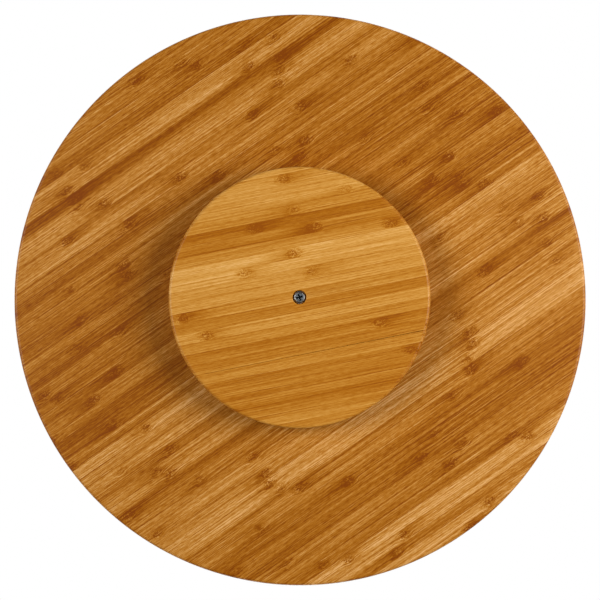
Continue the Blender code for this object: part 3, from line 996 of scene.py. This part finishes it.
# %% The balls
def lapped_steel(name, colour):
    material, tree, shader = new_material(name, colour, 0.1, 1.0, 1.5)
    place = add(tree, "TexCoord", {}, {}).node.outputs["Object"]
    haze = add(tree, "TexNoise", {}, {"Vector": place, "Scale": 1 / (1.5 * MM), "Detail": 4.0})
    shine = add(
        tree, "MapRange", {},
        {"Value": haze, "From Min": 0.35, "From Max": 0.7, "To Min": 0.06, "To Max": 0.2},
    )
    tree.links.new(shine, shader.inputs["Roughness"])
    return material


def make_ball(name, mesh):
    """One ball, centred on its own rolling axis. All balls share one mesh."""
    ball = bpy.data.objects.new("bearing_" + name, mesh)
    bpy.context.collection.objects.link(ball)
    ball.location = joints[name + "_roll"]["pos_m"]
    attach(ball, name)
    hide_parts(name)
    return ball


ball_shape = bmesh.new()
bmesh.ops.create_icosphere(ball_shape, subdivisions=4, radius=ball_radius)
ball_mould = finish_mesh("ball_mould", ball_shape)
ball_mesh = ball_mould.data
ball_mesh.materials.append(lapped_steel("lapped_bearing_steel", "#C9C9C7"))
bpy.data.objects.remove(ball_mould, do_unlink=True)
balls = [make_ball(name, ball_mesh) for name in ball_names]
print("balls:", len(balls), "of", round(2 * ball_radius / MM, 2), "mm")

# %% [markdown]
# ## The camera
# The turntable is seen from below, almost square on: the camera stands two degrees low. It is turned
# so that the platter's strips climb to the right, and it aims just off the axis, which puts the
# platter in the middle of the frame. The lens is worked out so that the platter nearly fills it.

# %% Place the camera
GRAIN_CLIMB = math.radians(34.5)     # how steeply the platter's strips rise in the picture
CAMERA_DISTANCE = 1.0
CAMERA_RIGHT = math.radians(0.42)
CAMERA_DOWN = math.radians(1.85)
AIM_OFF = (0.2 * MM, -1.1 * MM)      # the aim lies this far right and up of the axis
PLATTER_FILLS = 0.9537               # the platter's width against the frame's

picture_right = Vector((-math.cos(GRAIN_CLIMB), -math.sin(GRAIN_CLIMB), 0.0))
picture_up = Vector((-math.sin(GRAIN_CLIMB), math.cos(GRAIN_CLIMB), 0.0))
towards_viewer = Vector((0.0, 0.0, -1.0))
target = Vector((0.0, 0.0, platter_low.z)) + AIM_OFF[0] * picture_right + AIM_OFF[1] * picture_up


def seen_from(right, up, distance):
    """A point that far from the target, turned right and up by angles, as the viewer sees it."""
    direction = towards_viewer + picture_right * math.tan(right) + picture_up * math.tan(up)
    return target + direction.normalized() * distance


def aim(thing, upwards):
    """Point a camera or lamp at the target, with its top towards upwards."""
    back = (thing.location - target).normalized()
    side = upwards.cross(back).normalized()
    thing.rotation_mode = "QUATERNION"
    thing.rotation_quaternion = Matrix((side, back.cross(side), back)).transposed().to_quaternion()


camera = bpy.data.objects.new("camera", bpy.data.cameras.new("camera"))
bpy.context.collection.objects.link(camera)
camera.location = seen_from(CAMERA_RIGHT, -CAMERA_DOWN, CAMERA_DISTANCE)
aim(camera, picture_up)
half_frame = platter_high.x / PLATTER_FILLS
camera.data.lens = camera.data.sensor_width / 2 * CAMERA_DISTANCE / half_frame
camera.data.clip_end = 20.0
bpy.context.scene.camera = camera
print("lens, mm:", round(camera.data.lens, 1))

# %% [markdown]
# ## The studio
# A large soft lamp on the right lights the underside and gives the base its shadow on the left. A
# weaker one on the left fills in, and throws a shorter shadow to the right. Hardly any light comes
# from where the viewer stands, so the oil shows no haze. Another pair of lamps and the white
# surroundings light the top for anyone who walks round. The floor is seen from above only, so that
# the underside can be viewed too. A shadow is painted on it under the board, and it doesn't block
# or bounce light.

# %% Lamps, surroundings and floor
def soft_lamp(name, location, size, power):
    lamp = bpy.data.lights.new(name, "AREA")
    lamp.shape = "DISK"
    lamp.size = size
    lamp.energy = power
    thing = bpy.data.objects.new(name, lamp)
    bpy.context.collection.objects.link(thing)
    thing.location = location
    aim(thing, Vector((0.3, 0.9, 0.1)))
    return thing


soft_lamp("key_below", seen_from(math.radians(53), math.radians(6), 1.25), size=0.9, power=17.1)
soft_lamp("fill_below", seen_from(math.radians(-47), math.radians(5), 1.9), size=1.1, power=26.2)
soft_lamp("key_above", Vector((0.9, -1.0, 1.3)), size=0.9, power=12.0)
soft_lamp("fill_above", Vector((-1.1, 0.7, 1.0)), size=1.0, power=6.0)

SURROUNDINGS = 0.55                  # how strongly the white surroundings light the object
VIEWER_SIDE = 0.02                   # the same for the dim patch round the viewer, below
HORIZON = (-0.3, 0.1)                # the surroundings brighten between these steepnesses
FLOOR_CLEAR = (0.35, 1.3)            # the floor fades into the white between these radii
# a shadow is painted on the floor under the board, between these radii
PAINTED_SHADOW_RADII = (0.13, 0.21)          # it is darkest inside the first radius, pale past the second
# the painted shadow's colour, then the floor's own pale colour
PAINTED_SHADOW_AND_FLOOR_COLOURS = ("#7C7A78", "#E4E3E0")
FLOOR_DROP = 0.2 * MM                # the floor lies this far under the base
world = bpy.data.worlds.new("white_studio")
bpy.context.scene.world = world
world.use_nodes = True
sky = world.node_tree
sky.nodes.clear()
direction = add(sky, "TexCoord", {}, {}).node.outputs["Generated"]
upwards = add(sky, "SeparateXYZ", {}, {0: direction}).node.outputs["Z"]
wall = add(
    sky, "MapRange", {"interpolation_type": "SMOOTHSTEP"},
    {"Value": upwards, "From Min": HORIZON[0], "From Max": HORIZON[1],
     "To Min": VIEWER_SIDE, "To Max": SURROUNDINGS},
)
seen = add(sky, "LightPath", {}, {}).node.outputs["Is Camera Ray"]
strength = add(sky, "MapRange", {}, {"Value": seen, "To Min": wall, "To Max": 1.0})
white = add(sky, "Background", {}, {"Color": linear("#FFFFFF"), "Strength": strength})
world_output = sky.nodes.new("ShaderNodeOutputWorld")
sky.links.new(white, world_output.inputs["Surface"])

floor_shape = bmesh.new()
bmesh.ops.create_grid(floor_shape, x_segments=1, y_segments=1, size=2.0)
floor = finish_mesh("floor", floor_shape)
floor.location.z = base_low.z - FLOOR_DROP
floor_paint, floor_tree, floor_shader = new_material("pale_floor", PAINTED_SHADOW_AND_FLOOR_COLOURS[1], 0.9, 0.0, 1.45)
floor_place = add(floor_tree, "TexCoord", {}, {}).node.outputs["Object"]
away = add(floor_tree, "VectorMath", {"operation": "LENGTH"}, {0: floor_place}).node.outputs["Value"]
# painted shadow: the floor's colour darkens towards the middle, under the board
painted_shadow_ramp = add(floor_tree, "ValToRGB", {}, {0: away}).node
for stop, radius, colour in zip(painted_shadow_ramp.color_ramp.elements, PAINTED_SHADOW_RADII, PAINTED_SHADOW_AND_FLOOR_COLOURS):
    stop.position = radius
    stop.color = linear(colour)
floor_tree.links.new(painted_shadow_ramp.outputs[0], floor_shader.inputs["Base Color"])
faded = add(
    floor_tree, "MapRange", {"interpolation_type": "SMOOTHSTEP"},
    {"Value": away, "From Min": FLOOR_CLEAR[0], "From Max": FLOOR_CLEAR[1]},
)
underneath = add(floor_tree, "NewGeometry", {}, {}).node.outputs["Backfacing"]
clear = add(floor_tree, "Math", {"operation": "MAXIMUM"}, {0: faded, 1: underneath})
through = add(floor_tree, "BsdfTransparent", {}, {})
one_sided = add(floor_tree, "MixShader", {}, {0: clear, 1: floor_shader.outputs[0], 2: through})
floor_tree.links.new(one_sided, floor_tree.nodes["Material Output"].inputs["Surface"])
floor.data.materials.append(floor_paint)
floor.visible_diffuse = False
floor.visible_glossy = False
floor.visible_transmission = False
floor.visible_shadow = False
bpy.context.scene.view_settings.view_transform = "Standard"
